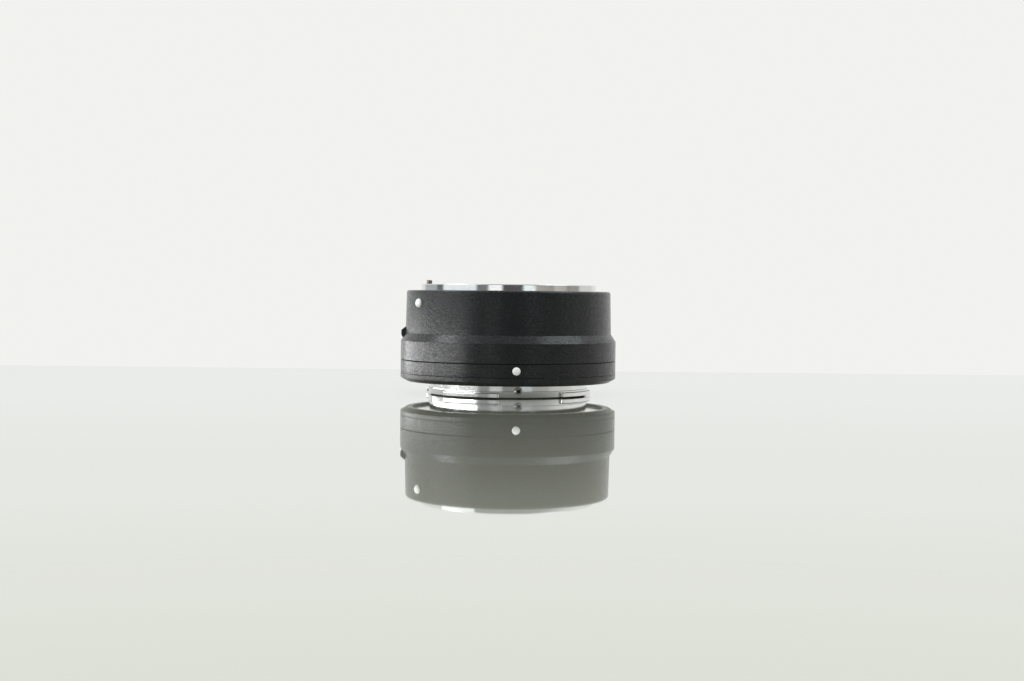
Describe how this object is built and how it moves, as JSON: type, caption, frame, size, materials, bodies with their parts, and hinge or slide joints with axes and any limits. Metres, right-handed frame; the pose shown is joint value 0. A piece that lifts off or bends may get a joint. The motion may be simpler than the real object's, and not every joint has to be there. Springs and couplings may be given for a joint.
{
  "type": "lens mount adapter",
  "caption": "Short stepped black barrel with a female lens bayonet ring on top, a tabbed male camera bayonet below, index dots and a side release slider.",
  "frame": {"origin": "centre of the male bayonet's rim, the lowest face, on which the adapter stands", "axes": "+Z along the optical axis from the camera side to the lens side; -Y faces the camera index dot"},
  "size_m": [0.07, 0.0701, 0.0368],
  "materials": {
    "crinkle_black": "fine crinkle paint, satin",
    "trim_black": "fine crinkle paint, satin",
    "baffle_black": "flat black paint",
    "screw_black": "blackened",
    "polished_mount": "turned and polished",
    "screw_steel": "bright",
    "spring_steel": "satin",
    "pin_steel": "warm grey, worn",
    "motor_can": "satin",
    "throat_black": "matt",
    "knob_black": "matt",
    "chip_black": "matt",
    "board_green": "satin solder mask",
    "gear_nylon": "moulded nylon",
    "ribbon_amber": "polyimide",
    "dot_white": "paint-filled dot",
    "contact_gold": "gold plated"
  },
  "bodies": {
    "housing": {"front_barrel": "crinkle_black", "rear_barrel": "crinkle_black", "rear_trim_ring": "trim_black", "assembly_screws": "screw_steel", "lens_mount_ring": "polished_mount", "lens_mount_screws": "screw_steel", "bayonet_leaf_springs": "spring_steel", "leaf_spring_screws": "screw_steel", "camera_mount": "polished_mount", "camera_mount_screws": "screw_steel", "bayonet_stop_screw": "screw_steel", "inner_sleeve": "throat_black", "sleeve_screws": "screw_steel", "light_baffle": "baffle_black", "lens_contact_block": "throat_black", "contact_block_screws": "screw_black", "lens_contact_springs": "spring_steel", "camera_contact_block": "throat_black", "camera_block_screws": "screw_black", "camera_contact_pads": "contact_gold", "circuit_board": "board_green", "board_chips": "chip_black", "board_screws": "screw_steel", "lens_flex_cable": "ribbon_amber", "camera_flex_cable": "ribbon_amber", "guide_rod": "spring_steel", "lock_spring": "spring_steel", "aperture_retainer": "spring_steel", "aperture_motor": "motor_can", "lens_index_dot": "dot_white", "camera_index_dot": "dot_white"},
    "release": {"release_knob": "knob_black", "release_knob_screw": "screw_steel", "lock_carrier": "spring_steel", "lock_pin": "pin_steel"},
    "contact_pins": {"lens_contact_pins": "contact_gold"},
    "aperture": {"aperture_ring": "gear_nylon", "aperture_lever": "spring_steel"},
    "pinion": {"aperture_pinion": "gear_nylon"}
  },
  "joints": [
    {"name": "release_slide", "type": "slide", "parent": "housing", "child": "release", "axis": [0, 0, -1], "range_m": [0, 0.0018], "stiffness_N_per_m": 700, "springref_m": -0.0025, "deforming": ["lock_spring"]},
    {"name": "contact_press", "type": "slide", "parent": "housing", "child": "contact_pins", "axis": [0, 0, -1], "range_m": [0, 0.0008], "stiffness_N_per_m": 1500, "springref_m": -0.0004, "deforming": ["lens_contact_springs"]},
    {"name": "aperture_turn", "type": "hinge", "parent": "housing", "child": "aperture", "pos_m": [0, 0, 0.0246], "axis": [0, 0, 1], "range_deg": [0, 28]},
    {"name": "pinion_turn", "type": "hinge", "parent": "housing", "child": "pinion", "pos_m": [0, 0.0282, 0.0246], "axis": [0, 0, 1], "range_deg": [-411, 0]}
  ],
  "couplings": [
    {"joint": "pinion_turn", "follows": "aperture_turn", "ratio": -14.667}
  ]
}
